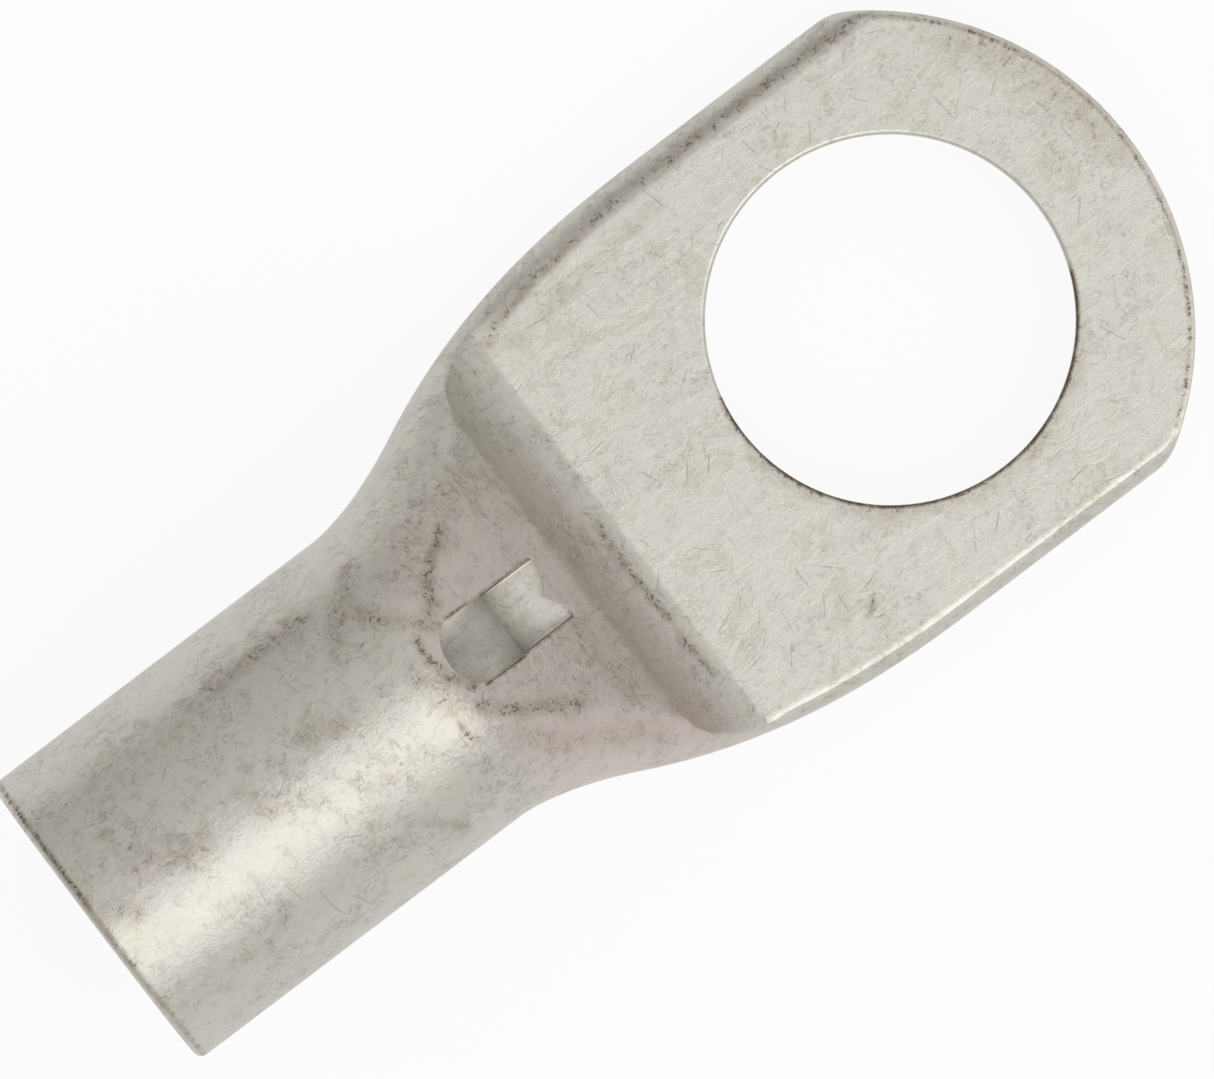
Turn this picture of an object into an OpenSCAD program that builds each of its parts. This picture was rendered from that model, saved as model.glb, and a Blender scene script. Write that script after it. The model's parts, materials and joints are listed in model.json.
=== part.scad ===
// Ring terminal for a cable: a length of copper tube, pressed flat at one end into a palm with a
// hole for a stud, and left round at the other for the bared wire, which is crimped in it.
// Lengths are in millimetres. X runs along the tube towards the tip of the palm and Z up out of
// the palm. The origin is the centre of the stud hole, on the underside.

/* [Tube] */
// Outside diameter of the tube
tube_od = 9.7; // [8:0.1:12]
// Wall of the tube
tube_wall = 1.35; // [1.1:0.05:1.8]
// Length of the round barrel, from its mouth to where the tube starts to widen
barrel_len = 11.4; // [8:0.1:24]
// Rounding of the outer edge at the mouth
mouth_round = 0.25; // [0.05:0.05:0.6]

/* [Palm] */
// Width of the palm, over its folded sides
palm_w = 15.93; // [13:0.01:20]
// Thickness of the palm, where the two walls are pressed into one
palm_t = 2.1; // [1.6:0.05:2.2]
// Diameter of the hole for the stud
stud_hole_d = 10.5; // [5:0.1:11]
// From the centre of the hole to the rear edge of the palm's flat top
palm_rear = 9.7; // [7:0.1:16]
// From the centre of the hole back to where the palm has its full width
full_width_at = 2.9; // [0:0.1:5]
// From the centre of the hole to the tip
tip_reach = 8.5; // [7.5:0.1:14]
// Radius of the sheared round end
tip_radius = 9.15; // [8:0.05:16]

/* [Neck] */
// Length of the curved step from the palm's top up to the sloping face
step_len = 1.75; // [1:0.05:3]
// Slope of the step at its foot, in degrees
step_foot_angle = 27; // [10:1:40]
// Slope of the step at its top, in degrees
step_top_angle = 75; // [55:1:80]
// Slope of the pressed face above the step, in degrees
face_angle = 49.5; // [35:0.5:60]
// Length of tube that widens before the pressed face begins
lead_in = 0.7; // [0.3:0.1:3]

/* [Inspection slot] */
// Width of the slot, which shows that the wire is fully in
slot_w = 2.06; // [1:0.02:3]
// Length of the slot, along the sloping face
slot_len = 5.57; // [3:0.05:6.5]
// From the top of the step up to the slot, along the sloping face
slot_up = 1.23; // [0.6:0.05:3]
// Sideways place of the slot
slot_side = -0.2; // [-0.5:0.05:0.5]
// Depth of the torn notch between the horns of the slot's lower end
slot_notch = 0.43; // [0.1:0.01:1]

/* [Hidden] */
$fn = 96;

tube_r = tube_od / 2;
bore_r = tube_r - tube_wall;
tin_bright = [0.80, 0.79, 0.755];

// The step is one arc, so its two slopes and its length give its radius and its rise.
step_r = step_len / (sin(step_top_angle) - sin(step_foot_angle));
step_rise = step_r * (cos(step_foot_angle) - cos(step_top_angle));
crease_x = -palm_rear - step_len;
crease_z = palm_t + step_rise;
face_slope = tan(face_angle);

// The neck starts where the sloping face would leave the top of the tube, less the lead-in.
neck_x = crease_x - (tube_od - crease_z) / face_slope - lead_in;
mouth_x = neck_x - barrel_len;

// The sides fold round at the wall's thickness, about the middle of the palm, and settle to that
// a little way into it.
fold_r = max(tube_wall, palm_t / 2);
settle_x = -palm_rear + palm_t / 2;
fold_start_x = crease_x - step_len * 2 / 3;
full_x = -full_width_at;
tip_x = tip_reach - tip_radius;
blank_end_x = tip_reach + palm_t;

// Share of the flare's length and height at which it turns from hollow to crowned, and how fast
// it starts. The power of the crowned stretch follows, so that the two meet in one slope.
flare_turn = 0.25;
flare_turn_rise = 0.34;
flare_power = 1.6;
flare_end_power = flare_power * flare_turn_rise / flare_turn
    * (1 - flare_turn) / (1 - flare_turn_rise);

// Half the width of the tiny flat that keeps the two halves of a round section apart.
seam = 0.02;
// Number of chords in each side of a section.
chords = 24;
// How far the neck's first section stands clear of the barrel's true circles.
joint_step = 0.03;
// Height at which the shrinking cavity is taken as closed.
cavity_shut = 0.06;

function clamp(v) = min(max(v, 0), 1);
function share(x, from, to) = clamp((x - from) / (to - from));
function ease(u) = (1 - cos(180 * u)) / 2;
function mix(a, b, u) = a + (b - a) * u;

// Rise of the flare, from 0 at the tube to 1 at the palm's full width.
function flare(u) = u < flare_turn
    ? flare_turn_rise * pow(u / flare_turn, flare_power)
    : 1 - (1 - flare_turn_rise) * pow((1 - u) / (1 - flare_turn), flare_end_power);

// Half the width of the outside at x.
function half_w(x) = mix(tube_r, palm_w / 2, flare(share(x, neck_x, full_x)));

// The outline that the squeezed tube would have at x without the tools' flat faces: its top,
// its underside, and how far its rounded sides reach in.
function crown(x) = mix(tube_od, palm_t / 2 + fold_r, ease(share(x, neck_x, settle_x)));
function sole(x) = mix(0, palm_t / 2 - fold_r, ease(share(x, neck_x, settle_x)));
function side_r(x) = mix(tube_r, fold_r, ease(share(x, fold_start_x, settle_x))) - seam;

// Height of the pressing tool's face at x: the sloping face, the step, then the palm.
function face_z(x) = crease_z + (crease_x - x) * face_slope;
function step_angle(x) = asin(sin(step_foot_angle) + (-palm_rear - x) / step_r);
function tool_z(x) = x < crease_x ? face_z(x)
    : x < -palm_rear ? palm_t + step_r * (cos(step_foot_angle) - cos(step_angle(x)))
    : palm_t;

// Angle on a rounded side of half height h, about the level mid, at which it meets the level z.
function side_angle(z, mid, h) = asin(min(max((z - mid) / h, -1), 1));

// Section at x, inset from the outside by a wall and cut off level at low and high.
function section(x, inset, low, high) =
    let (h = (crown(x) - sole(x)) / 2 - inset, mid = (crown(x) + sole(x)) / 2,
         w = half_w(x) - inset, r = side_r(x) - inset,
         from = side_angle(low, mid, h), to = side_angle(high, mid, h),
         side = [for (i = [0 : chords]) let (a = mix(from, to, i / chords))
             [w - r + r * cos(a), mid + h * sin(a)]])
    concat([for (p = side) [x, p[0], p[1]]],
           [for (i = [chords : -1 : 0]) [x, -side[i][0], side[i][1]]]);

// The round section where the neck meets the barrel, grown from the radius r to one whose chords
// stay a step outside it, or inside it for a step below 0, and cut off level with the underside.
function stepped(points, r, step) =
    let (k = (r + step) / r * pow(cos(90 / chords), step > 0 ? -1 : 0))
    [for (p = points) [p[0], p[1] * k, max(0, tube_r + (p[2] - tube_r) * k)]];

// Stations from a to b in n steps, without the last.
function stations(a, b, n) = [for (i = [0 : n - 1]) mix(a, b, i / n)];

// Solid through a list of sections that each have the same number of points.
module loft(sections) {
    n = len(sections[0]);
    last = (len(sections) - 1) * n;
    polyhedron(
        points = [for (s = sections) each s],
        faces = concat(
            [[for (i = [0 : n - 1]) i]],
            [for (j = [0 : n : last - n], i = [0 : n - 1])
                [j + i, j + n + i, j + n + (i + 1) % n]],
            [for (j = [0 : n : last - n], i = [0 : n - 1])
                [j + i, j + n + (i + 1) % n, j + (i + 1) % n]],
            [[for (i = [n - 1 : -1 : 0]) last + i]]));
}

// Round bar from the mouth to the neck, with its outer edge rounded at the mouth.
module barrel_blank() {
    translate([mouth_x, 0, tube_r]) rotate([0, 90, 0]) rotate_extrude() {
        translate([0, mouth_round]) square([tube_r, barrel_len - mouth_round]);
        square([tube_r - mouth_round, barrel_len]);
        translate([tube_r - mouth_round, mouth_round]) circle(mouth_round);
    }
}

// Outside of the neck and the palm, run on past the tip.
module neck_and_palm_blank() {
    xs = concat(stations(neck_x, crease_x, 20), stations(crease_x, -palm_rear, 7),
                stations(-palm_rear, full_x, 9), [full_x, blank_end_x]);
    loft([for (x = xs) let (s = section(x, 0, 0, tool_z(x)))
        x == neck_x ? stepped(s, tube_r, joint_step) : s]);
}

// Hollow of the neck: the wall is as thick here as on the tube, so its roof runs level with the
// sloping face, and it shuts under the step.
module neck_cavity() {
    roof_drop = tube_wall / cos(face_angle);
    shut_x = crease_x + (crease_z - roof_drop - tube_wall - cavity_shut) / face_slope;
    xs = concat(stations(neck_x, shut_x, 18), [shut_x]);
    loft([for (x = xs) let (s = section(x, tube_wall, tube_wall, face_z(x) - roof_drop))
        x == neck_x ? stepped(s, bore_r, -joint_step) : s]);
}

// True bore for the wire.
module wire_bore() {
    translate([mouth_x - 1, 0, tube_r]) rotate([0, 90, 0])
        cylinder(r = bore_r, h = barrel_len + 1);
}

// Slot square to the sloping face, round at its upper end and torn into two horns below. It is
// cut just through the upper wall.
module inspection_slot() {
    half = slot_w / 2;
    depth = tube_wall / cos(face_angle) + 0.05;
    translate([crease_x, slot_side, crease_z]) rotate([0, 90 - face_angle, 0])
        rotate([0, 0, 90]) translate([0, slot_up, -depth]) linear_extrude(depth + palm_t) {
            polygon([[-half, 0], [0.1, slot_notch], [half, 0],
                     [half, slot_len - half], [-half, slot_len - half]]);
            translate([0, slot_len - half]) circle(half);
        }
}

// What the shear takes off beyond the round end.
module beyond_tip() {
    translate([0, 0, -1]) difference() {
        translate([0, -palm_w, 0]) cube([blank_end_x + 1, 2 * palm_w, palm_t + 2]);
        translate([tip_x, 0, -1]) cylinder(r = tip_radius, h = palm_t + 4);
    }
}

module terminal_body() {
    color(tin_bright) difference() {
        union() {
            barrel_blank();
            neck_and_palm_blank();
        }
        wire_bore();
        neck_cavity();
        inspection_slot();
        beyond_tip();
        translate([0, 0, -1]) cylinder(d = stud_hole_d, h = palm_t + 2);
    }
}

terminal_body();
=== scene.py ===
import json
import math

import bmesh
import bpy
import numpy as np
from mathutils import Matrix, Vector


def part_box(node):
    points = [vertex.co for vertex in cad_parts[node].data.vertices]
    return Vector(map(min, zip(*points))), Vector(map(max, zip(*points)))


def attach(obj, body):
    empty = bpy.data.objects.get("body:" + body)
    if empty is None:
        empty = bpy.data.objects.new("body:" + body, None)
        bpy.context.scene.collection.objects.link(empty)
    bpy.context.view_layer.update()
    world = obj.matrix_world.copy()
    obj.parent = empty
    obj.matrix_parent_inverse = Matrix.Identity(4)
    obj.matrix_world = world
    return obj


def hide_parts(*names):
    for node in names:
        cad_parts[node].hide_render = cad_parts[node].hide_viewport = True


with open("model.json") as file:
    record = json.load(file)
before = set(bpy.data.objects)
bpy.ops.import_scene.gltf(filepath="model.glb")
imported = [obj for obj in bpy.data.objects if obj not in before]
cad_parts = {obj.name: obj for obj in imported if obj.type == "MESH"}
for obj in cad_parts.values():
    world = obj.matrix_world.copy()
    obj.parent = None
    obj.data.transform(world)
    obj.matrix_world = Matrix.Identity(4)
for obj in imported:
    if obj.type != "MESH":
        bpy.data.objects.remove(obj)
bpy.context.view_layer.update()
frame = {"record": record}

# ---------------------------------------------------------------------------------------------
# Terminal, its form. The real piece is one length of copper tube: the barrel keeps the tube's
# round section, the neck is squeezed down under a sloping tool, and the palm is pressed flat,
# punched for the stud and sheared to a round end. Lengths here are in millimetres.
# ---------------------------------------------------------------------------------------------
MM = 1000.0
mounts = {mount["name"]: mount for mount in frame["record"]["mounts"]}
stud, barrel = mounts["stud_hole"], mounts["wire_barrel"]
body_low, body_high = (np.array(corner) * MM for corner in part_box("terminal_body"))

hole_r = stud["dims"]["r_mm"]
palm_t = stud["dims"]["length_mm"]
tube_r = barrel["pos_m"][2] * MM
wall = tube_r - barrel["dims"]["r_mm"]
mouth_x = body_low[0]
neck_x = mouth_x + barrel["dims"]["length_mm"]
palm_half = body_high[1]
tip_reach = body_high[0]

rear_x = -9.7                       # rear edge of the palm's flat top
full_x = -2.9                       # where the palm reaches its full width
crease_x = rear_x - 1.75            # top of the curved step
settle_x = rear_x + palm_t / 2      # where the tube is fully pressed
fold_from, fold_to = -14.2, -10.6   # where the round sides tighten into folds
tip_radius = 9.15
tip_x = tip_reach - tip_radius
foot_sine, crest_sine = math.sin(math.radians(27)), math.sin(math.radians(75))
step_r = (rear_x - crease_x) / (crest_sine - foot_sine)
crease_z = palm_t + step_r * (math.sqrt(1 - foot_sine**2) - math.sqrt(1 - crest_sine**2))
face_angle = math.radians(49.5)
face_slope = math.tan(face_angle)
edge_k, arch_k = 0.12, 0.34         # heights over which a pressed edge and the arch are rounded
roof_x, roof_z = -13.9, 4.55        # a point on the cavity's roof
roof_slope = math.tan(math.radians(53.5))


def share(x, start, end):
    """How far x has gone from start to end, from 0 to 1."""
    return np.clip((x - start) / (end - start), 0, 1)


def ease(u):
    """Half a cosine wave, from 0 to 1."""
    return (1 - np.cos(np.pi * u)) / 2


def mix(a, b, u):
    """Straight from a to b as u goes from 0 to 1."""
    return a + (b - a) * u


def soft_min(a, b, k):
    """The lower of a and b, with the corner where they cross rounded over a height k."""
    u = np.clip(0.5 + 0.5 * (b - a) / k, 0, 1)
    return mix(b, a, u) - k * u * (1 - u)


def soft_max(a, b, k):
    """The higher of a and b, with the corner where they cross filled over a height k."""
    return -soft_min(-a, -b, k)


def wander(x, seed, pitch):
    """A smooth random walk along x, about -1 to 1: four sine waves round one pitch in mm."""
    dice = np.random.default_rng(seed)
    rates = 2 * np.pi / pitch * np.array([0.47, 0.83, 1.31, 2.3])
    weights = np.array([0.9, 1.0, 0.7, 0.45]) / 2
    phases = dice.uniform(0, 2 * np.pi, 4)
    return np.sum(weights * np.sin(np.asarray(x, float)[..., None] * rates + phases), axis=-1)


def flare(u):
    """Rise of the outline from the tube, 0, to the palm's full width, 1: a power curve that
    starts hollow and, past a quarter of the length, a crowned one that takes over its slope."""
    turn, rise, power = 0.25, 0.34, 1.6
    end_power = power * rise / turn * (1 - turn) / (1 - rise)
    hollow = rise * (np.minimum(u, turn) / turn) ** power
    crowned = 1 - (1 - rise) * ((1 - np.maximum(u, turn)) / (1 - turn)) ** end_power
    return np.where(u < turn, hollow, crowned)


def roof(x):
    """Height of the cavity's roof under the sloping face: a plane a little steeper than it."""
    return roof_z - (x - roof_x) * roof_slope


def blank(x, skin, side):
    """The squeezed tube's section at x before the tools cut it, a depth skin under its face:
    half width, reach of the rounded sides, level of their middle and half height. The fold on
    the +y side is pressed lower and more raggedly than the one on the -y side."""
    squeeze = ease(share(x, neck_x, settle_x))
    top = mix(2 * tube_r, palm_t / 2 + wall, squeeze) - skin
    top = np.where(skin < wall / 2, top, soft_min(top, roof(x), 0.6))
    bottom = np.where(skin > 0, skin, mix(0, palm_t / 2 - wall, squeeze))
    half_w = mix(tube_r, palm_half, flare(share(x, neck_x, full_x))) - skin
    reach = np.maximum(mix(tube_r, wall, ease(share(x, fold_from, fold_to))) - skin, 0.35)
    low_fold = 0.867 - 0.010 * wander(x, 5, 2.6) - 0.006 * wander(x, 15, 0.7)
    high_fold = 1.133 + 0.012 * wander(x, 6, 3.4)
    fold = mix(1, np.where(side > 0, low_fold, high_fold), ease(share(x, crease_x + 0.2, rear_x)))
    return half_w, reach, (top + bottom) / 2, (top - bottom) / 2 * fold


def press_face(x, y):
    """Height of the press tool's face: a slope down to the crease, an arc from there down to
    the rear edge of the palm, then level, with rounded corners and a slightly unsteady line.
    Past a sine of 0.985 the arc goes on straight, so that its height stays a function of x."""
    last, last_slope = 0.985, 5.7
    foot = rear_x + 0.03 * wander(y, 3, 1.3)
    crest = crease_z + 0.02 * wander(y, 4, 2.9)
    slope = crest + (crease_x - x) * face_slope + 0.02 * wander(x + y, 8, 3.1)
    u = foot_sine + (foot - x) / step_r
    arc = palm_t + step_r * (math.sqrt(1 - foot_sine**2) - np.sqrt(1 - np.clip(u, 0, last) ** 2))
    arc = arc + np.maximum(u - last, 0) * step_r * last_slope
    level = palm_t - 0.004 * (1 + wander(x + 0.4 * y, 11, 4.5) * wander(y, 12, 5.5))
    return soft_max(soft_min(slope, arc, 0.22), level, 0.09)


def over(x, y, skin):
    """Height of the upper side over (x, y): the blank's crown, cut by the tool or the roof."""
    half_w, reach, mid, half_h = blank(x, skin, y)
    off = np.clip((np.abs(y) - (half_w - reach)) / reach, 0, 1)
    return cut_top(x, y, mid + half_h * np.sqrt(1 - off**2), skin)


def cut_top(x, y, z, skin):
    """z lowered to the tool's face on the outside, by a rounded edge that is softest along the
    arch of the sloping face; as it is inside."""
    k = mix(arch_k, edge_k, ease(share(x, crease_x - 1.6, crease_x)))
    return np.where(skin < wall / 2, soft_min(z, press_face(x, y), k), z)


STRIP, STRIP_HALF = 40, 2.4         # columns over the middle, and half their width
SHOULDER, SIDE = 16, 12             # columns from there to the pressed edge, and down the side
strip_y = np.linspace(-STRIP_HALF, STRIP_HALF, STRIP + 1)
shoulder_f = 1 - (1 - np.linspace(0, 1, SHOULDER + 1)[1:]) ** 1.7
side_f = np.linspace(0, 1, SIDE + 1)[1:] ** 1.6


def chain(x, skin, upper):
    """One half of the section at each station: columns from the -y side, over or under, to the
    +y side. A fixed strip in the middle, a shoulder that ends on the edge where the flat face
    meets the rounded side, and angles round that side down to its outermost line. The edge is
    kept clear of the strip, by clear, and of the outermost line."""
    clear = STRIP_HALF + 0.5
    x, skin = x[:, None], skin[:, None]
    halves = []
    for side in (-1.0, 1.0):
        half_w, reach, mid, half_h = blank(x, skin, side)
        if upper:
            slope = crease_z + (crease_x - x) * face_slope
            plain = np.where(crease_x > x, slope, press_face(x, 0 * x))
            plain = soft_max(plain, palm_t, 0.001)
            sine = np.where(skin < wall / 2, np.clip((plain - mid) / half_h, 0, 1), 1)
        else:
            sine = np.where(skin > 0, 1, np.clip(mid / half_h, 0, 1))
        edge = half_w - reach + reach * np.sqrt(1 - sine**2)
        edge = soft_max(edge, np.minimum(clear + 0 * x, half_w - 0.4), 0.3)
        turn = np.arccos(np.clip((edge - half_w + reach) / reach, 0, 1))
        shoulder_y = mix(STRIP_HALF, edge, shoulder_f)
        angle = turn * (1 - side_f)
        side_y = half_w - reach + reach * np.cos(angle)
        side_z = half_h * np.sin(angle)
        if upper:
            shoulder_z = over(x, side * shoulder_y, skin)
            side_z = cut_top(x, side * side_y, mid + side_z, skin)
        else:
            shoulder_z = under(x, side * shoulder_y, skin)
            side_z = cut_sole(x, mid - side_z, skin)
        y = side * np.concatenate([shoulder_y, side_y], axis=1)
        z = np.concatenate([shoulder_z, side_z], axis=1)
        halves.append((y, z))
    middle_z = (over if upper else under)(x, strip_y[None, :], skin)
    y = np.concatenate([halves[0][0][:, ::-1], strip_y + 0 * x, halves[1][0]], axis=1)
    z = np.concatenate([halves[0][1][:, ::-1], middle_z, halves[1][1]], axis=1)
    return np.stack([x + 0 * y, y, z], axis=-1)


def under(x, y, skin):
    """Height of the lower side under (x, y): the blank's sole, cut off level at the bench."""
    half_w, reach, mid, half_h = blank(x, skin, y)
    off = np.clip((np.abs(y) - (half_w - reach)) / reach, 0, 1)
    return cut_sole(x, mid - half_h * np.sqrt(1 - off**2), skin)


def cut_sole(x, z, skin):
    """z raised to the bench outside, with a rounded edge no deeper than the cut; as it is
    inside."""
    depth = -mix(0, palm_t / 2 - wall, ease(share(x, neck_x, settle_x)))
    k = np.clip(0.9 * depth, 1e-6, edge_k)
    return np.where(skin > 0, z, soft_max(z, 0, k))


# Stations of the skin: over the outside from the palm to the mouth, round the mouth's edge, and
# back inside to where the tube is pressed shut.
mouth_round, bore_round = 0.25, 0.12
out_slot, in_slot = (-11.75, -16.6), (-13.3, -17.3)     # where the slot's patches lie
SLOT_ALONG = 60
quarter = np.linspace(0, np.pi / 2, 6)
inner_quarter = np.linspace(0, np.pi / 2, 4)
shut_x = roof_x + (roof_z - wall - 0.05) / roof_slope   # where the roof all but meets the floor
stations = [
    (np.linspace(rear_x, out_slot[0], 29)[:-1], 0.0),
    (np.linspace(*out_slot, SLOT_ALONG + 1)[:-1], 0.0),
    (np.linspace(out_slot[1], neck_x, 4)[:-1], 0.0),
    (np.linspace(neck_x, mouth_x + 0.45, 40), 0.0),
    (mouth_x + np.array([0.4, 0.35, 0.3]), 0.0),
    (mouth_x + mouth_round * (1 - np.sin(quarter)), mouth_round * (1 - np.cos(quarter))),
    (np.full(3, mouth_x), np.linspace(mouth_round, wall - bore_round, 5)[1:-1]),
    (mouth_x + bore_round * (1 - np.cos(inner_quarter)),
     wall - bore_round + bore_round * np.sin(inner_quarter)),
    (np.linspace(mouth_x + bore_round, in_slot[1], 31)[1:-1], wall),
    (np.linspace(in_slot[1], in_slot[0], SLOT_ALONG + 1)[:-1], wall),
    (mix(in_slot[0], shut_x, np.linspace(0, 1, 17) ** 0.9), wall),
]
station_x = np.concatenate([x for x, _ in stations])
station_skin = np.concatenate([np.broadcast_to(skin, x.shape) for x, skin in stations])
counts = np.cumsum([0] + [len(x) for x, _ in stations])
out_rows = slice(counts[1], counts[1] + SLOT_ALONG + 1)
in_rows = slice(counts[9], counts[9] + SLOT_ALONG + 1)

upper = chain(station_x, station_skin, True)
lower = chain(station_x, station_skin, False)

# The slot: straight sides, a round end toward the barrel and a forked end toward the palm.
slot_y, slot_half = -0.23, 1.04
slot_barrel_x, slot_palm_x, slot_fork = -15.8, -12.17, 0.4
horn_x = slot_palm_x - 0.06         # where the straight sides end
slot_round = slot_half * math.cos(face_angle)


def slot_outline():
    """The slot's edge in plan, in four runs that match a patch's four sides: half an ellipse,
    a straight side, a shallow fork of two lobes that meet in a cusp, and the other side."""
    cusp = -0.12
    sweep = np.linspace(-np.pi / 2, np.pi / 2, STRIP + 1)[:-1]
    across = np.linspace(1, -1, STRIP + 1)[:-1]
    along = np.linspace(0, 1, SLOT_ALONG + 1)[:-1]
    neck = slot_barrel_x + slot_round
    lobe = np.where(across > cusp, (across - cusp) / (1 - cusp), (cusp - across) / (1 + cusp))
    fork = slot_palm_x - slot_fork * (1 - lobe) ** 2.2 - 0.06 * lobe**10
    x = np.concatenate([neck - slot_round * np.cos(sweep), mix(neck, horn_x, along), fork,
                        mix(horn_x, neck, along)])
    y = np.concatenate([slot_half * np.sin(sweep), slot_half + 0 * along, slot_half * across,
                        -slot_half + 0 * along])
    return x, slot_y + y


def patch_rim(x_barrel, x_palm):
    """The four sides of a patch's rectangle, in the same order and with the same counts."""
    along = np.linspace(x_barrel, x_palm, SLOT_ALONG + 1)
    x = np.concatenate([np.full(STRIP, x_barrel), along[:-1], np.full(STRIP, x_palm),
                        along[:0:-1]])
    y = np.concatenate([strip_y[:-1], np.full(SLOT_ALONG, STRIP_HALF), strip_y[:0:-1],
                        np.full(SLOT_ALONG, -STRIP_HALF)])
    return x, y


def patch(inner_x, inner_y, rim_x, rim_y, skin, rings, roll):
    """Rings spread from the slot's edge, 0, to the patch's rim, 1, each on the surface above;
    the edge itself is turned in by roll over its first fifth of a millimetre."""
    f = (np.linspace(0, 1, rings + 1) ** 1.8)[:, None]
    x, y = mix(inner_x, rim_x, f), mix(inner_y, rim_y, f)
    away = np.hypot(x - inner_x, y - inner_y)
    z = over(x, y, np.full_like(x, skin)) - roll * (1 - np.minimum(away / 0.2, 1)) ** 2
    return np.stack([x, y, z], axis=-1)


edge_x, edge_y = slot_outline()
shelf_x = -14.0                     # the shelf's inner edge
# How far toward the barrel the cut's inner edge lies from its outer one.
lean = mix(0.46, horn_x - shelf_x, share(edge_x, slot_barrel_x, horn_x))
end_face = slice(STRIP + SLOT_ALONG, 2 * STRIP + SLOT_ALONG + 1)
lean[end_face] = edge_x[end_face] - shelf_x
outer_patch = patch(edge_x, edge_y, *patch_rim(out_slot[1], out_slot[0]), 0.0, 14, 0.015)
inner_patch = patch(edge_x - lean, edge_y, *patch_rim(in_slot[1], in_slot[0]), wall, 10, 0.0)


def slot_wall(outer, inner, levels):
    """The cut through the tube's wall: straight from the outer edge to the inner one, but at
    the palm's end down to a shelf, once the cut's end face, and along it: level at first, then
    falling off in a parabola to the inner edge."""
    v = np.linspace(0, 1, levels + 1)[:, None]
    straight = mix(outer[None], inner[None], v[..., None])
    x = mix(outer[:, 0], inner[:, 0], ease(share(v, 0.2, 1)))
    shelf_z = inner[:, 2] + 0.15 * (1 - (1 - share(x, shelf_x, shelf_x + 1.1)) ** 2)
    z = mix(outer[:, 2], shelf_z, share(v, 0, 0.2))
    shelf = np.stack([x, mix(outer[:, 1], inner[:, 1], v), z], axis=-1)
    shelf[-1] = inner
    shelved = np.zeros(len(outer), bool)
    shelved[end_face.start + 1:end_face.stop - 1] = True
    return np.where(shelved[None, :, None], shelf, straight)


cut_wall = slot_wall(outer_patch[0], inner_patch[0], 20)

# The palm: rings from the stud hole out to the pressed edge, on top and beneath, with a wall of
# folded sides and a sheared round end between them.
ALONG_SIDE, ROUND_TIP = 56, 84
levels_up = np.concatenate([[0.0], side_f])     # from the pressed edge to the outermost line
roll_tip, roll_hole = 0.1, 0.13     # rolled edges of the shear cut and of the punched hole
hole_break = 0.03                   # how far the hole widens where the slug broke off
corner_round = 0.45                 # the tip's corners, in plan


def blunt(path, column, r):
    """A path on each level with its corner at one column rounded in plan: within r of it the
    points move to a parabola that leaves the two sides at r from the corner."""
    corner = path[:, column:column + 1, :2]
    gap = np.linalg.norm(path[..., :2] - corner, axis=-1, keepdims=True)
    sign = np.sign(np.arange(path.shape[1]) - column)[None, :, None]
    t = np.clip(0.5 + 0.5 * sign * gap / r, 0, 1)
    ends = [corner + (path[:, near:near + 1, :2] - corner) / gap[:, near:near + 1] * r
            for near in (column - 1, column + 1)]
    curve = (1 - t) ** 2 * ends[0] + 2 * t * (1 - t) * corner + t**2 * ends[1]
    return np.concatenate([np.where(gap < r, curve, path[..., :2]), path[..., 2:]], axis=-1)


def palm_wall(upper_half):
    """The palm's outside at each level, from the rear edge along +y, round the tip and back
    along -y: the tube's own folds, met by a circular shear cut whose top edge is rolled. The
    corner where they meet follows from the width there, and four rounds settle its place."""
    turns, paths = [], []
    for side in (1.0, -1.0):
        fraction = 1 - (1 - np.linspace(0, 1, ALONG_SIDE + 1)[None, :]) ** 1.35
        corner = np.full((len(levels_up), 1), 3.9)
        for _ in range(4):
            x = mix(rear_x, corner, fraction)
            half_w, reach, mid, half_h = blank(x, 0.0 * x, side)
            limit = press_face(rear_x + 0 * x, 0 * x) if upper_half else 0 * x
            limit = np.where(fraction > 0, palm_t + 0 * x, limit) if upper_half else limit
            sine = np.clip(np.abs(limit - mid) / half_h, 0, 1)
            edge = half_w - reach + reach * np.sqrt(1 - sine**2)
            turn = np.arccos((edge - half_w + reach) / reach)
            angle = turn * (1 - levels_up[:, None])
            y = half_w - reach + reach * np.cos(angle)
            bare = mid + half_h * np.sin(angle) * (1 if upper_half else -1)
            rise = np.clip((bare - (palm_t - roll_tip)) / roll_tip, 0, 1)
            radius = tip_radius - roll_tip * (1 - np.sqrt(1 - rise**2))
            corner = (tip_x + np.sqrt(radius[:, -1] ** 2 - y[:, -1] ** 2))[:, None]
        z = cut_top(x, side * y, bare, 0.0) if upper_half else cut_sole(x, bare, 0.0)
        turns.append((radius[:, -1], np.arctan2(y[:, -1], corner[:, 0] - tip_x)))
        paths.append(np.stack([x, side * y, z], axis=-1))
    sweep = np.linspace(0, 1, ROUND_TIP + 1)[None, 1:-1]
    sweep = mix(sweep, ease(sweep), 0.6)
    (r_a, turn_a), (r_b, turn_b) = turns
    angle = mix(turn_a[:, None], -turn_b[:, None], sweep)
    radius = mix(r_a[:, None], r_b[:, None], ease(sweep))
    ends = [path[:, -1, 2][:, None] for path in paths]
    z = mix(ends[0], ends[1], ease(sweep))
    tip = np.stack([tip_x + radius * np.cos(angle), radius * np.sin(angle), z], axis=-1)
    path = np.concatenate([paths[0], tip, paths[1][:, ::-1]], axis=1)
    path = blunt(path, ALONG_SIDE, corner_round)
    return blunt(path, ALONG_SIDE + ROUND_TIP, corner_round)


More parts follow.
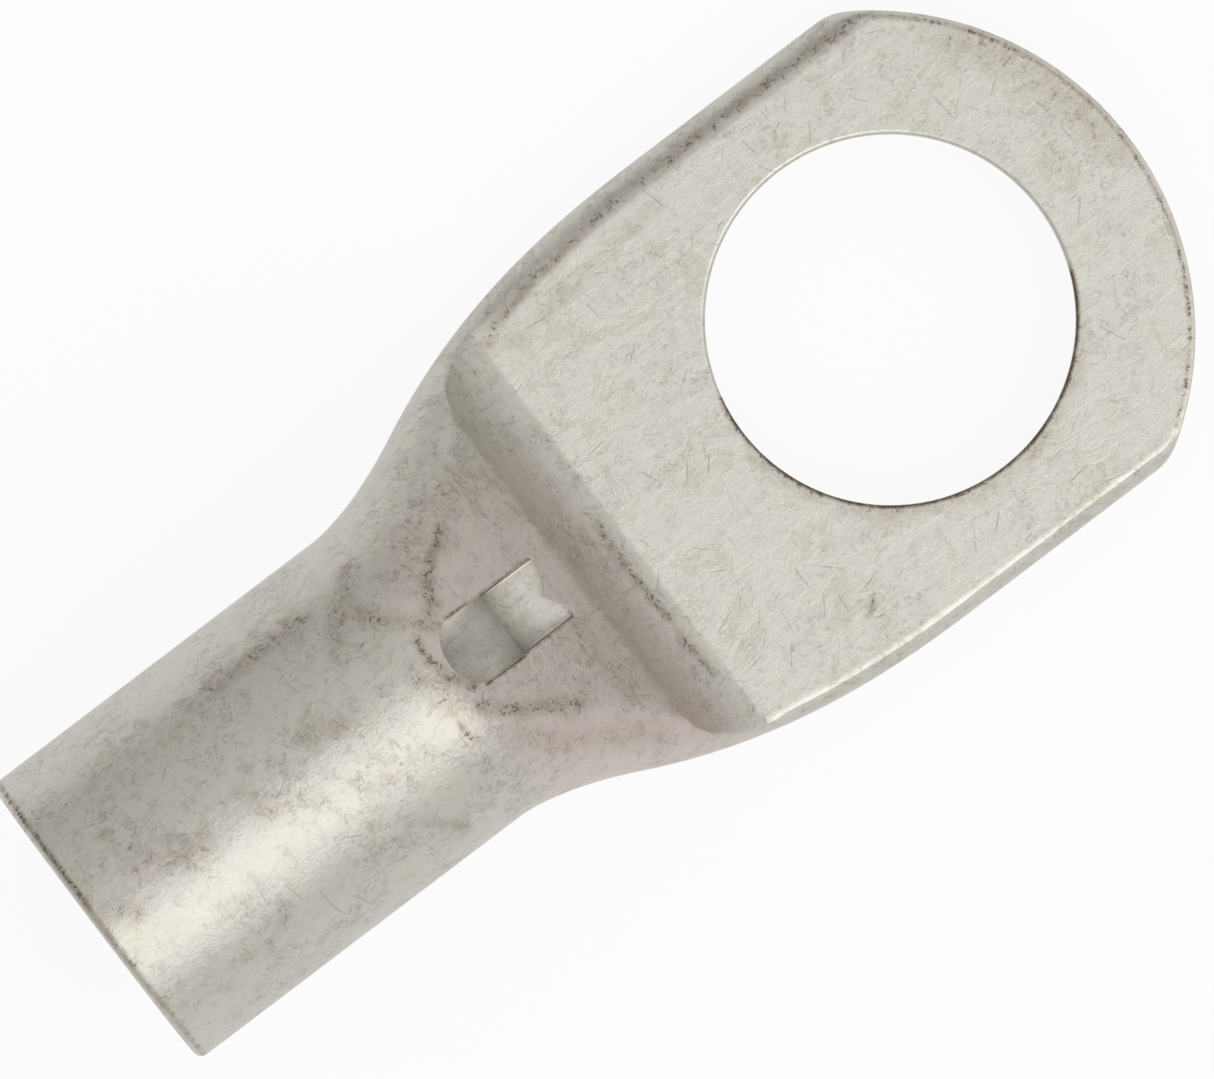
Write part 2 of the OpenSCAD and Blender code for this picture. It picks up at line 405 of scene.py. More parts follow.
wall_up, wall_down = palm_wall(True), palm_wall(False)
half_columns = STRIP // 2 + SHOULDER
mid_column = SHOULDER + SIDE + STRIP // 2
flat_columns = slice(mid_column - half_columns, mid_column + half_columns + 1)
rear_up, rear_down = upper[0, flat_columns], lower[0, flat_columns]
wall_up[:, 0], wall_up[:, -1] = upper[0, mid_column + half_columns:], \
    upper[0, mid_column - half_columns::-1]
wall_down[:, 0], wall_down[:, -1] = lower[0, mid_column + half_columns:], \
    lower[0, mid_column - half_columns::-1]


def palm_face(rear, rim, top):
    """The palm's flat face as rings from the hole's edge to the pressed edge, close together at
    both: level, but turned over at the hole and falling off along the folds and the tip."""
    outer = np.concatenate([rear, rim[1:-1]])
    angle = np.arctan2(outer[:, 1], outer[:, 0])
    u = np.linspace(0, 1, 31 if top else 15)
    f = np.where(u < 0.5, 0.5 * (2 * u) ** 1.9, 1 - 0.5 * (2 - 2 * u) ** 2.3)[:, None]
    start = hole_r + (roll_hole if top else 0.05)
    x = mix(start * np.cos(angle), outer[:, 0], f)
    y = mix(start * np.sin(angle), outer[:, 1], f)
    side_x = rim[:ALONG_SIDE + 1, 0]
    plus = np.interp(x, side_x, rim[:ALONG_SIDE + 1, 1]) - y
    minus = y - np.interp(x, side_x, rim[:-ALONG_SIDE - 2:-1, 1])
    tip = rim[len(rim) // 2, 0] - tip_x - np.hypot(np.maximum(x - tip_x, 0), y)
    inset = np.maximum(np.minimum(np.minimum(plus, minus), tip), 0)
    if top:
        z = soft_min(palm_t + 0.8 * inset, press_face(x, y), edge_k)
    else:
        z = soft_max(-0.8 * inset, 0, edge_k)
    z[-1] = outer[:, 2]
    return np.stack([x, y, z], axis=-1)


top_face = palm_face(rear_up, wall_up[0], True)
sole_face = palm_face(rear_down, wall_down[0], False)


def hole_wall(top, bottom):
    """The punched hole: a rolled top edge, a straight bright shear and a slightly wider break."""
    angle = np.arctan2(top[:, 1], top[:, 0])
    lower_angle = np.arctan2(bottom[:, 1], bottom[:, 0])
    bend = np.linspace(0, np.pi / 2, 6)[1:, None]
    level = top[:, 2].mean()
    roll_r = hole_r + roll_hole * (1 - np.sin(bend)) + 0 * angle
    roll_z = mix(top[:, 2], level, ease(bend / (np.pi / 2))) - roll_hole * (1 - np.cos(bend))
    v = np.linspace(0, 1, 8)[1:-1, None]
    wall_z = mix(level - roll_hole, 0.05, v) + 0 * angle
    wall_r = hole_r + hole_break * ease(share(wall_z, 0.7, 0.3)) + 0 * angle
    low_r = (hole_r + hole_break + 0 * angle)[None]
    low_z = np.full_like(low_r, 0.05)
    radius = np.concatenate([roll_r, wall_r, low_r])
    z = np.concatenate([roll_z, wall_z, low_z])
    turn = mix(angle, lower_angle, np.linspace(0, 1, len(radius))[:, None])
    body = np.stack([radius * np.cos(turn), radius * np.sin(turn), z], axis=-1)
    return np.concatenate([top[None], body, bottom[None]])


punched = hole_wall(top_face[0], sole_face[0])


def quads(points, closed=False):
    """Corners and faces of a grid of points, one quad for each cell; closed joins each row."""
    rows, columns = points.shape[:2]
    index = np.arange(rows * columns).reshape(rows, columns)
    right = np.roll(index, -1, axis=1)
    if not closed:
        index, right = index[:, :-1], right[:, :-1]
    faces = np.stack([index[:-1], right[:-1], right[1:], index[1:]], axis=-1)
    return points.reshape(-1, 3), faces.reshape(-1, 4)


def join(grids):
    """One mesh from many grids: points that fall together to a hundred-thousandth of a
    millimetre become one, and faces that lose a corner so become triangles or go."""
    corners = np.concatenate([points for points, _ in grids])
    starts = np.cumsum([0] + [len(points) for points, _ in grids])[:-1]
    faces = np.concatenate([faces + start for (_, faces), start in zip(grids, starts)])
    _, first, back = np.unique(np.round(corners * 1e5).astype(np.int64), axis=0,
                               return_index=True, return_inverse=True)
    faces = back.reshape(-1)[faces]
    same = faces == np.roll(faces, -1, axis=1)
    whole = faces[~same.any(axis=1)]
    short = faces[same.sum(axis=1) == 1]
    keep = ~same[same.sum(axis=1) == 1]
    return corners[first], whole, short[keep].reshape(-1, 3), first


strip_columns = slice(SHOULDER + SIDE, SHOULDER + SIDE + STRIP + 1)
up_points, up_faces = quads(upper)
open_cells = np.ones((upper.shape[0] - 1, upper.shape[1] - 1), bool)
for rows in (out_rows, in_rows):
    open_cells[rows.start:rows.stop - 1, strip_columns.start:strip_columns.stop - 1] = False
grids = [
    (up_points, up_faces[open_cells.reshape(-1)]),
    quads(lower),
    quads(np.stack([upper[-1], lower[-1]])),
    quads(outer_patch, closed=True),
    quads(inner_patch, closed=True),
    quads(cut_wall, closed=True),
    quads(wall_up),
    quads(wall_down),
    quads(top_face, closed=True),
    quads(sole_face, closed=True),
    quads(punched, closed=True),
]
points, four_sided, three_sided, first = join(grids)
depths = [station_skin.repeat(upper.shape[1]), station_skin.repeat(lower.shape[1]),
          np.full(2 * upper.shape[1], wall), np.zeros(outer_patch[..., 0].size),
          np.full(inner_patch[..., 0].size, wall),
          np.linspace(0, wall, len(cut_wall)).repeat(cut_wall.shape[1])]
depth = np.concatenate(depths + [np.zeros(len(corners)) for corners, _ in grids[6:]])[first]


def solid(name, points, *face_sets):
    """A mesh object from arrays of corners in mm and faces, smooth, with its faces outwards."""
    mesh = bpy.data.meshes.new(name)
    faces = [face for faces in face_sets for face in faces.tolist()]
    mesh.from_pydata((points / MM).tolist(), [], faces)
    made = bmesh.new()
    made.from_mesh(mesh)
    bmesh.ops.recalc_face_normals(made, faces=made.faces)
    made.to_mesh(mesh)
    made.free()
    mesh.polygons.foreach_set("use_smooth", np.ones(len(mesh.polygons), bool))
    mesh.update()
    piece = bpy.data.objects.new(name, mesh)
    bpy.context.scene.collection.objects.link(piece)
    return piece


terminal = solid("terminal", points, four_sided, three_sided)
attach(terminal, "root")
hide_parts("terminal_body")

# ---------------------------------------------------------------------------------------------
# Terminal, its finish. The real piece is tin plated by the barrel load after it is formed, so
# the plate is satin and mottled, scuffed by other terminals, brighter where the palm was pressed
# and brown where the plate is thin: at sheared and pressed edges and in a few handling marks.
# Some brown lines are painted shade instead: along the slot's sides, the crease, the stud hole's
# lower rim and, in part, the fold on the +y side.
# ---------------------------------------------------------------------------------------------


def near_line(points, line, width):
    """1 on a line of (x, y) corners and 0 from a width away, falling in a cosine between."""
    line = np.array(line, float)
    starts, steps = line[:-1], np.diff(line, axis=0)
    from_start = points[:, None, :2] - starts
    along = np.clip((from_start * steps).sum(-1) / (steps**2).sum(-1).clip(1e-9), 0, 1)
    gap = np.linalg.norm(from_start - along[..., None] * steps, axis=-1).min(axis=1)
    return 1 - ease(np.minimum(gap / width, 1))


def arc(middle_x, radius, turn_from, turn_to, count):
    """Corners of an arc about (middle_x, 0), between two angles in degrees."""
    turns = np.radians(np.linspace(turn_from, turn_to, count))
    return np.stack([middle_x + radius * np.cos(turns), radius * np.sin(turns)], axis=1)


# Brown marks on the upper side, some of them painted shade: corners of each line in mm, its half
# width and its strength.
marks = [
    ([(-15.3, 1.3), (-14.9, 2.05), (-14.4, 2.5), (-13.7, 2.95)], 0.42, 0.68),
    ([(-15.6, 2.6), (-14.6, 3.3), (-13.6, 3.6), (-12.6, 3.9)], 1.1, 0.3),
    ([(-14.0, 3.0), (-12.7, 3.6), (-11.9, 4.3)], 0.6, 0.27),
    ([(-16.55, -1.65), (-16.65, -2.0), (-16.5, -2.35)], 0.16, 0.75),
    ([(-15.8, -1.7), (-15.2, -2.3), (-14.4, -2.75), (-13.6, -3.35)], 0.4, 0.58),
    ([(-14.6, -2.6), (-14.3, -2.75)], 0.2, 0.6),
    ([(-13.9, -3.1), (-13.5, -3.4)], 0.2, 0.6),
    ([(-16.1, 0.95), (-16.2, 0.3), (-16.0, -0.6), (-15.6, -1.15)], 0.26, 0.66),
    ([(-17.2, 2.6), (-15.9, 1.3), (-15.5, 0.95)], 0.45, 0.46),
    ([(-18.1, 1.9), (-17.6, 2.6), (-16.4, 3.6)], 0.6, 0.42),
    ([(-21.5, 3.3), (-18.4, 3.3)], 0.45, 0.5),
    ([(-16.75, 0.2), (-16.5, -1.2)], 0.6, 0.34),
    ([(-25.95, 1.35), (-25.85, 1.6)], 0.15, 0.8),
    ([(-26.1, 1.1), (-26.2, 0.95)], 0.12, 0.85),
    ([(-26.6, 1.85), (-26.3, 1.9), (-26.4, 1.6)], 0.16, 0.5),
    ([(-27.6, 0.1), (-26.9, -0.5)], 0.5, 0.36),
    ([(-26.2, 0.6), (-24.4, -0.1)], 0.8, 0.27),
    ([(-22.4, -0.5), (-22.6, 0.4)], 0.6, 0.28),
    ([(-20.2, 0.6), (-18.9, 0.2)], 0.7, 0.28),
    ([(-23.6, -2.9), (-24.0, -3.2)], 0.3, 0.42),
    ([(-19.0, -3.4), (-18.2, -4.2)], 0.3, 0.4),
    ([(-10.15, 0.4), (-10.2, -1.2), (-10.1, -2.8)], 0.24, 0.68),
    ([(-10.15, -3.7), (-10.05, -4.8)], 0.24, 0.68),
    # Dark lines along both sides of the slot: painted shade of the cut wall just below its edges.
    ([(-15.3, -1.31), (-14.0, -1.33)], 0.1, 1.0),
    ([(-14.0, -1.31), (-12.4, -1.3)], 0.06, 0.6),
    ([(-15.15, 0.87), (-14.4, 0.86)], 0.08, 0.9),
    ([(-14.4, 0.85), (-12.3, 0.83)], 0.05, 0.8),
    ([(-5.4, -6.35), (-5.25, -5.95)], 0.2, 0.75),
    # Along the fold on the +y side: partly brown spotting, partly painted shade of that side,
    # which faces away from the light.
    ([(-9.5, 6.45), (-7.5, 7.0), (-4.5, 7.36), (0.0, 7.42), (4.2, 7.38)], 0.3, 0.56),
    (arc(tip_x, 8.99, -54, 56, 30), 0.13, 0.66),
    (arc(tip_x, 8.6, 0, 40, 12), 0.9, 0.3),
    # The stud hole's lower-left rim: a dark line of painted shade on the rolled edge, away from
    # the light, and a wider soft band of painted shade and dirt around it.
    (arc(0.0, hole_r + 0.02, 168, 338, 40), 0.2, 1.0),
    (arc(0.0, hole_r + 0.1, 190, 320, 40), 0.5, 0.34),
    ([(-8.9, 5.9), (-3.4, 6.6)], 0.35, 0.28),
    # A faint line across the whole width at the crease: painted shade where the step turns steep.
    ([(-11.52, 5.6), (-11.55, -5.4)], 0.2, 0.26),
    ([(-12.3, -1.9), (-12.0, -3.6)], 1.0, 0.3),
    ([(-15.7, -3.0), (-13.9, -4.3), (-12.4, -5.3)], 0.7, 0.27),
    ([(-11.9, 1.9), (-11.8, 4.0)], 0.6, 0.16),
]
# They fade down the sides between two levels, and sooner on the wall of the stud hole.
in_hole = np.hypot(points[:, 0], points[:, 1]) < hole_r + roll_hole
fade_low = np.where(in_hole, palm_t - 0.3, 0.9)
fade_high = np.where(in_hole, palm_t - 0.05, 1.5)
top_side = ease(share(points[:, 2], fade_low, fade_high)) * (depth < wall)
marks_and_painted_shade = np.zeros(len(points))
for line, width, strength in marks:
    marks_and_painted_shade = np.maximum(marks_and_painted_shade, strength * near_line(points, line, width))
# The outer edge of the mouth is brown too, most on the +y side.
rim = 1 - ease(np.minimum(np.abs(points[:, 0] - mouth_x - 0.2) / 0.14, 1))
rim *= 0.55 + 0.35 * near_line(points, [(mouth_x, 1.0), (mouth_x, 3.6)], 1.5)
# The slot's shelf was pressed too: it has the palm's finish, and only its end the cavity's.
on_shelf = (depth > 0.15 * wall) & (depth < wall) & (points[:, 0] > shelf_x)
marked = {
    "brown": np.maximum(marks_and_painted_shade * top_side, rim * (depth < wall - 0.3)),
    "pressed": np.maximum(on_shelf, ease(share(points[:, 0], rear_x - 0.05, rear_x + 0.1))
                          * ease(share(points[:, 2], palm_t - 0.25, palm_t - 0.03))),
    "inside": ease(share(depth, 0.7 * wall, wall)),
    "rosy": (depth < 0.1) * top_side * np.maximum(
        near_line(points, [(-14.6, -3.6), (-12.9, -4.7), (-11.4, -5.6)], 1.0),
        0.5 * ease(share(points[:, 0], -17.0, -15.0)) * ease(share(points[:, 0], rear_x, -11.0))
        * ease(share(points[:, 1], 4.4, 2.2))),
}
for mark, amount in marked.items():
    terminal.data.attributes.new(mark, "FLOAT", "POINT").data.foreach_set(
        "value", amount.astype(np.float32))


def linear(code):
    """An sRGB colour written in hex, as linear red, green, blue and alpha."""
    parts = [int(code[i:i + 2], 16) / 255 for i in (1, 3, 5)]
    return [p / 12.92 if p <= 0.04045 else ((p + 0.055) / 1.055) ** 2.4 for p in parts] + [1.0]


def add(tree, kind, settings=None, *inputs, **named):
    """One node of the given kind, with its settings, and its inputs, in order or by name, set
    to a value or linked from another node's first output or from a socket."""
    made = tree.nodes.new(kind)
    for key, value in (settings or {}).items():
        setattr(made, key, value)
    wanted = [(made.inputs[i], value) for i, value in enumerate(inputs) if value is not None]
    wanted += [(made.inputs[key.replace("_", " ")], value) for key, value in named.items()]
    for socket, value in wanted:
        if isinstance(value, bpy.types.Node):
            value = value.outputs[0]
        if isinstance(value, bpy.types.NodeSocket):
            tree.links.new(value, socket)
        else:
            socket.default_value = value
    return made


# Satin tin plate: a pale warm grey metal, softly blurred, with a fine crystalline grain. The real
# crystals are a few thousandths of a millimetre across. The grit is drawn much coarser, at about
# an eighth of a millimetre.
tin = bpy.data.materials.new("satin tin plate on copper")
tin.use_nodes = True
tree = tin.node_tree
shader = tree.nodes["Principled BSDF"]
place = add(tree, "ShaderNodeVectorMath", {"operation": "SCALE"},
            add(tree, "ShaderNodeTexCoord").outputs["Object"], Scale=MM)
brown, pressed, inside, rosy = (add(tree, "ShaderNodeAttribute", {"attribute_name": mark})
                                .outputs["Fac"] for mark in marked)
smooth = add(tree, "ShaderNodeMath", {"operation": "MAXIMUM"}, pressed, inside)

# Cloudy patches some 2 mm across, curds of a third of a millimetre, grit, and film islands.
cloud = add(tree, "ShaderNodeTexNoise", None, Vector=place, Scale=0.5, Detail=5.0, Roughness=0.62,
            Distortion=0.4)
curd = add(tree, "ShaderNodeTexNoise", None, Vector=place, Scale=2.6, Detail=4.0, Roughness=0.7,
           Distortion=0.6)
grit = add(tree, "ShaderNodeTexNoise", None, Vector=place, Scale=8.0, Detail=3.0, Roughness=0.65)
tint = add(tree, "ShaderNodeTexNoise", None, Vector=place, Scale=0.8, Detail=6.0, Roughness=0.68,
           Distortion=0.8)

# Plate colours: pressed palm, plain tube, and yellowish and lilac films over both.
plain = add(tree, "ShaderNodeMix", {"data_type": "RGBA"}, pressed)
plain.inputs[6].default_value = linear("#C8C5BD")
plain.inputs[7].default_value = linear("#D5D2C9")
yellow = add(tree, "ShaderNodeMapRange", {"interpolation_type": "SMOOTHSTEP"}, tint, 0.53, 0.6,
             0.0, 0.4)
film = add(tree, "ShaderNodeMix", {"data_type": "RGBA"}, yellow)
tree.links.new(plain.outputs[2], film.inputs[6])
film.inputs[7].default_value = linear("#C6C2AF")
lilac = add(tree, "ShaderNodeMapRange", {"interpolation_type": "SMOOTHSTEP"}, tint, 0.46, 0.34,
            0.0, 0.22)
lilac = add(tree, "ShaderNodeMath", {"operation": "MAXIMUM"}, lilac,
            add(tree, "ShaderNodeMath", {"operation": "MULTIPLY"}, rosy, 0.85))
filmed = add(tree, "ShaderNodeMix", {"data_type": "RGBA"}, lilac)
tree.links.new(film.outputs[2], filmed.inputs[6])
filmed.inputs[7].default_value = linear("#CDBEB8")

# Dull curds: darker where cloud and curd are both high, less so on the pressed palm.
dull = add(tree, "ShaderNodeMath", {"operation": "MULTIPLY_ADD"}, curd, 0.85,
           add(tree, "ShaderNodeMath", {"operation": "MULTIPLY"}, cloud, 0.45))
dull = add(tree, "ShaderNodeMapRange", {"interpolation_type": "SMOOTHSTEP"}, dull, 0.6, 0.86,
           0.0, add(tree, "ShaderNodeMapRange", None, smooth, 0.0, 1.0, 0.36, 0.18))
dulled = add(tree, "ShaderNodeMix", {"data_type": "RGBA"}, dull)
tree.links.new(filmed.outputs[2], dulled.inputs[6])
dulled.inputs[7].default_value = linear("#958B80")

# Flecks: crooked crumbs a third of a millimetre long, where a ragged noise crosses its middle
# value and the grit is thick. They are faint in the cloudy patches and dark in the brown marks.
crook = add(tree, "ShaderNodeTexNoise", None, Vector=place, Scale=1.7, Detail=4.0, Roughness=0.62,
            Distortion=0.7)
fleck = add(tree, "ShaderNodeMapRange", {"interpolation_type": "SMOOTHSTEP"},
            add(tree, "ShaderNodeMath", {"operation": "ABSOLUTE"},
                add(tree, "ShaderNodeMath", {"operation": "SUBTRACT"}, crook, 0.5)),
            0.01, 0.04, 1.0, 0.0)
fleck = add(tree, "ShaderNodeMath", {"operation": "MULTIPLY"}, fleck,
            add(tree, "ShaderNodeMapRange", {"interpolation_type": "SMOOTHSTEP"}, grit, 0.42, 0.6,
                0.0, 1.0))
clouded = add(tree, "ShaderNodeMapRange", {"interpolation_type": "SMOOTHSTEP"}, cloud, 0.4, 0.62,
              0.08, add(tree, "ShaderNodeMapRange", None, smooth, 0.0, 1.0, 0.4, 0.3))
flecked = add(tree, "ShaderNodeMix", {"data_type": "RGBA"},
              add(tree, "ShaderNodeMath", {"operation": "MULTIPLY"}, fleck, clouded))
tree.links.new(dulled.outputs[2], flecked.inputs[6])
flecked.inputs[7].default_value = linear("#72695B")

# A few long curling scuffs: where a slow noise crosses its middle value, broken up by another.
curl = add(tree, "ShaderNodeTexNoise", None, Vector=place, Scale=0.33, Detail=1.2, Roughness=0.45,
           Distortion=1.1)
hair = add(tree, "ShaderNodeMapRange", {"interpolation_type": "SMOOTHSTEP"},
           add(tree, "ShaderNodeMath", {"operation": "ABSOLUTE"},
               add(tree, "ShaderNodeMath", {"operation": "SUBTRACT"}, curl, 0.5)),
           0.001, 0.006, 0.5, 0.0)
broken = add(tree, "ShaderNodeMapRange", {"interpolation_type": "SMOOTHSTEP"},
             add(tree, "ShaderNodeTexNoise", None, Vector=place, Scale=0.9, Detail=4.0,
                 Roughness=0.7), 0.5, 0.64, 0.0, 1.0)
hair = add(tree, "ShaderNodeMath", {"operation": "MULTIPLY"}, hair, broken)

# Straight nicks from other terminals: one to a cell of 0.8 mm, each turned its own way.
cell = add(tree, "ShaderNodeTexVoronoi", None, Vector=place, Scale=1.25)
local = add(tree, "ShaderNodeVectorMath", {"operation": "SUBTRACT"}, place,
            cell.outputs["Position"])
lot = add(tree, "ShaderNodeSeparateColor", None, cell.outputs["Color"])
turned = add(tree, "ShaderNodeVectorRotate", {"rotation_type": "EULER_XYZ"}, local,
             Rotation=add(tree, "ShaderNodeVectorMath", {"operation": "MULTIPLY"},
                          cell.outputs["Color"], (0.6, 0.6, 2 * math.pi)))
sides = add(tree, "ShaderNodeSeparateXYZ", None, turned)
long_way = add(tree, "ShaderNodeMath", {"operation": "ABSOLUTE"}, sides)
cross_way = add(tree, "ShaderNodeMath", {"operation": "ABSOLUTE"}, sides.outputs[1])
nick = add(tree, "ShaderNodeMath", {"operation": "MULTIPLY"},
           add(tree, "ShaderNodeMapRange", {"interpolation_type": "SMOOTHSTEP"}, long_way,
               add(tree, "ShaderNodeMath", {"operation": "MULTIPLY"}, lot.outputs[1], 0.3),
               0.42, 1.0, 0.0),
           add(tree, "ShaderNodeMapRange", {"interpolation_type": "SMOOTHSTEP"}, cross_way, 0.006,
               0.03, 1.0, 0.0))
nick = add(tree, "ShaderNodeMath", {"operation": "MULTIPLY"}, nick,
           add(tree, "ShaderNodeMapRange", None, lot, 0.45, 1.0, 0.0, 1.0))
scuff = add(tree, "ShaderNodeMath", {"operation": "MAXIMUM"}, hair, nick)
scuff = add(tree, "ShaderNodeMath", {"operation": "MULTIPLY"}, scuff,
            add(tree, "ShaderNodeMath", {"operation": "SUBTRACT"}, 1.0, inside))
scuffed = add(tree, "ShaderNodeMix", {"data_type": "RGBA"},
              add(tree, "ShaderNodeMath", {"operation": "MULTIPLY"}, scuff,
                  add(tree, "ShaderNodeMapRange", None, smooth, 0.0, 1.0, 0.3, 0.34)))
tree.links.new(flecked.outputs[2], scuffed.inputs[6])
scuffed.inputs[7].default_value = linear("#6B6256")

# Pits: dark grains gathered where the curds are thick.
pit = add(tree, "ShaderNodeMath", {"operation": "MULTIPLY_ADD"}, curd, 0.45,
          add(tree, "ShaderNodeMath", {"operation": "MULTIPLY"}, grit, 0.75))
pit = add(tree, "ShaderNodeMapRange", {"interpolation_type": "SMOOTHSTEP"}, pit, 0.745, 0.83, 0.0,
          add(tree, "ShaderNodeMapRange", None, smooth, 0.0, 1.0, 0.5, 0.3))
pitted = add(tree, "ShaderNodeMix", {"data_type": "RGBA"}, pit)
tree.links.new(scuffed.outputs[2], pitted.inputs[6])
pitted.inputs[7].default_value = linear("#5F574C")

# Brown marks, real stains and painted shade alike: a soft brown tint, with flecks in it, and
# solid where the mark is strongest.
stain_and_shade = add(tree, "ShaderNodeMath", {"operation": "MULTIPLY"}, brown,
            add(tree, "ShaderNodeMapRange", {"interpolation_type": "SMOOTHSTEP"}, curd, 0.3, 0.65,
                0.45, 1.0))
stained_and_shaded = add(tree, "ShaderNodeMix", {"data_type": "RGBA"}, stain_and_shade)
tree.links.new(pitted.outputs[2], stained_and_shaded.inputs[6])
stained_and_shaded.inputs[7].default_value = linear("#92816E")
smear_and_shade = add(tree, "ShaderNodeMath", {"operation": "MULTIPLY_ADD"}, fleck, 1.7,
            add(tree, "ShaderNodeMath", {"operation": "MULTIPLY_ADD"}, brown, 0.6,
                add(tree, "ShaderNodeMapRange", None, curd, 0.3, 0.7, -0.15, 0.2)))
smear_and_shade = add(tree, "ShaderNodeMapRange", {"interpolation_type": "SMOOTHSTEP"},
            add(tree, "ShaderNodeMath", {"operation": "MULTIPLY"}, smear_and_shade, brown), 0.22, 0.75, 0.0,
            add(tree, "ShaderNodeMapRange", None, brown, 0.3, 1.0, 0.42, 0.85))
smeared_and_shaded = add(tree, "ShaderNodeMix", {"data_type": "RGBA"}, smear_and_shade)
tree.links.new(stained_and_shaded.outputs[2], smeared_and_shaded.inputs[6])
smeared_and_shaded.inputs[7].default_value = linear("#5C4E40")
tree.links.new(smeared_and_shaded.outputs[2], shader.inputs["Base Color"])

shader.inputs["Metallic"].default_value = 1.0
rough = add(tree, "ShaderNodeMapRange", None, inside, 0.0, 1.0, 0.4, 0.25)
rough = add(tree, "ShaderNodeMath", {"operation": "MULTIPLY_ADD"}, cloud, 0.12, rough)
rough = add(tree, "ShaderNodeMath", {"operation": "MULTIPLY_ADD"}, smear_and_shade, 0.15, rough)
rough = add(tree, "ShaderNodeMath", {"operation": "SUBTRACT"}, rough, 0.05)
tree.links.new(rough.outputs[0], shader.inputs["Roughness"])

# Relief in mm: plate curds, fine grain, faint drawing lines along the tube, scuffs and pits.
drawn = add(tree, "ShaderNodeTexNoise", None,
            Vector=add(tree, "ShaderNodeVectorMath", {"operation": "MULTIPLY"}, place,
                       (0.22, 3.2, 3.2)), Scale=1.0, Detail=3.0, Roughness=0.6)
relief = add(tree, "ShaderNodeMath", {"operation": "MULTIPLY"}, curd,
             add(tree, "ShaderNodeMapRange", None, smooth, 0.0, 1.0, 0.018, 0.009))
relief = add(tree, "ShaderNodeMath", {"operation": "MULTIPLY_ADD"}, grit, 0.005, relief)
relief = add(tree, "ShaderNodeMath", {"operation": "MULTIPLY_ADD"}, yellow, -0.007, relief)
relief = add(tree, "ShaderNodeMath", {"operation": "MULTIPLY_ADD"}, drawn, 0.008, relief)
relief = add(tree, "ShaderNodeMath", {"operation": "MULTIPLY_ADD"}, scuff, -0.0035, relief)
relief = add(tree, "ShaderNodeMath", {"operation": "MULTIPLY_ADD"}, smear_and_shade, -0.008, relief)
bump = add(tree, "ShaderNodeBump", None, Distance=1 / MM, Height=relief,
           Strength=add(tree, "ShaderNodeMapRange", None, inside, 0.0, 1.0, 1.0, 0.25))
tree.links.new(bump.outputs[0], shader.inputs["Normal"])
terminal.data.materials.append(tin)

# ---------------------------------------------------------------------------------------------
# Bench, light and camera: a white bench in a white tent that is darker toward the palm's end, a
# broad soft lamp over the -y side, and a long lens straight above, turned so that the palm lies
# at the upper right.
# ---------------------------------------------------------------------------------------------
side = 6000.0                       # half the bench's width, in mm
bench = solid("bench", side * np.array([[-1, -1, 0], [1, -1, 0], [1, 1, 0], [-1, 1, 0]]),
              np.array([[0, 1, 2, 3]]))
# Matt white board: it shows pure white to the eye and in reflections, save a tenth that is left
# to the light, so that the terminal's shadow still falls on it.
white = bpy.data.materials.new("matt white board")
white.use_nodes = True
tree = white.node_tree
board = tree.nodes["Principled BSDF"]
board.inputs["Base Color"].default_value = linear("#F2F2F1")
board.inputs["Roughness"].default_value = 0.9
board.inputs["Specular IOR Level"].default_value = 0.0
path = add(tree, "ShaderNodeLightPath")
seen = add(tree, "ShaderNodeMath", {"operation": "MAXIMUM"}, path.outputs["Is Camera Ray"],
           path.outputs["Is Glossy Ray"])
seen = add(tree, "ShaderNodeMath", {"operation": "MAXIMUM"}, seen,
           path.outputs["Is Transmission Ray"])
shown = add(tree, "ShaderNodeMixShader", None,
            add(tree, "ShaderNodeMath", {"operation": "MULTIPLY"}, seen, 0.9), board,
            add(tree, "ShaderNodeEmission", None, (1.0, 1.0, 1.0, 1.0), 1.0))
tree.links.new(shown.outputs[0], tree.nodes["Material Output"].inputs["Surface"])
bench.data.materials.append(white)

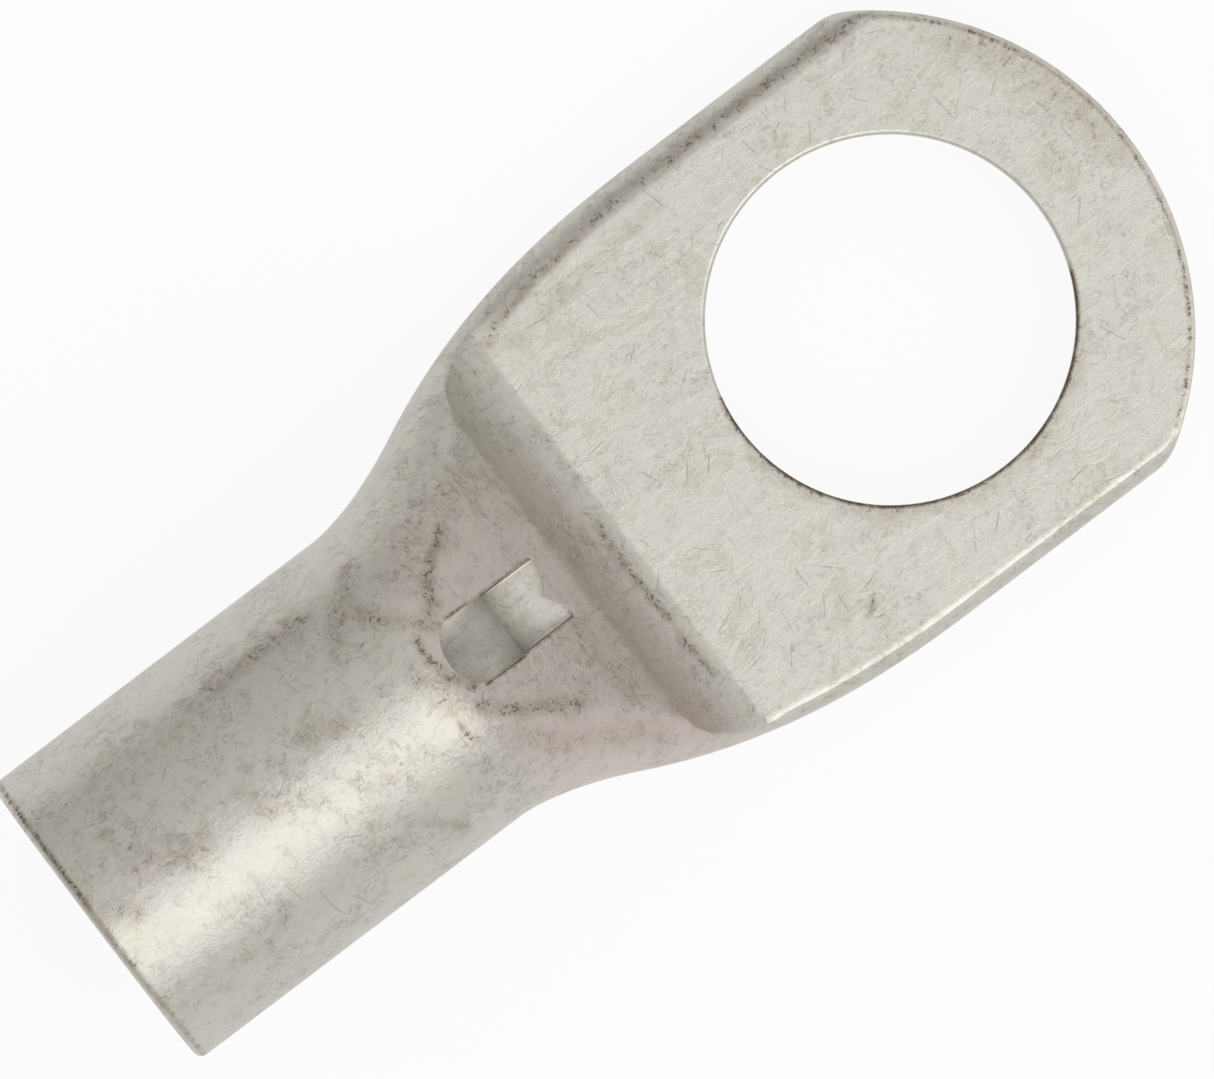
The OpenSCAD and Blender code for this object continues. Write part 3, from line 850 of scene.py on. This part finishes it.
world = bpy.data.worlds.new("tent")
bpy.context.scene.world = world
world.use_nodes = True
tree = world.node_tree
# Brightness of the tent: low at the horizon, even from halfway up, and more on the palm's side
# and on the -y side than across from them.
sky = add(tree, "ShaderNodeTexCoord").outputs["Generated"]
height = add(tree, "ShaderNodeMapRange", {"interpolation_type": "SMOOTHSTEP"},
             add(tree, "ShaderNodeSeparateXYZ", None, sky).outputs[2], 0.0, 0.45, 0.48, 0.82)
sideways = add(tree, "ShaderNodeVectorMath", {"operation": "DOT_PRODUCT"}, sky,
               (0.12, -0.14, 0.0))
level = add(tree, "ShaderNodeMath", {"operation": "ADD"}, height, sideways.outputs["Value"])
tree.links.new(level.outputs[0], tree.nodes["Background"].inputs["Strength"])
tree.nodes["Background"].inputs["Color"].default_value = linear("#FFFFFF")

lamp = bpy.data.lights.new("soft lamp", "AREA")
lamp.shape = "DISK"
lamp.size = 0.36
lamp.energy = 0.315
lamp_object = bpy.data.objects.new("soft lamp", lamp)
bpy.context.scene.collection.objects.link(lamp_object)
lamp_from, lamp_at = Vector((-0.01, -0.215, 0.34)), Vector((-0.01, 0, 0))
lamp_object.location = lamp_from
lamp_object.rotation_euler = (lamp_at - lamp_from).to_track_quat("-Z", "Y").to_euler()

right = Vector((0.79662, -0.60453, 0.0))
up = Vector((0.60453, 0.79662, 0.0))
aim = Vector((-10.153, -0.105, palm_t)) / MM
lens_mm, sensor_mm, field_mm = 1200.0, 36.0, 34.355
distance = field_mm * lens_mm / sensor_mm / MM
camera = bpy.data.cameras.new("camera")
camera.lens = lens_mm
camera.sensor_width = sensor_mm
camera.clip_start, camera.clip_end = 0.05, 20.0
camera_object = bpy.data.objects.new("camera", camera)
bpy.context.scene.collection.objects.link(camera_object)
camera_object.matrix_world = Matrix.Translation(aim + Vector((0, 0, distance))) @ Matrix(
    [[right.x, up.x, 0], [right.y, up.y, 0], [0, 0, 1]]).to_4x4()
bpy.context.scene.camera = camera_object
bpy.context.scene.view_settings.view_transform = "Standard"
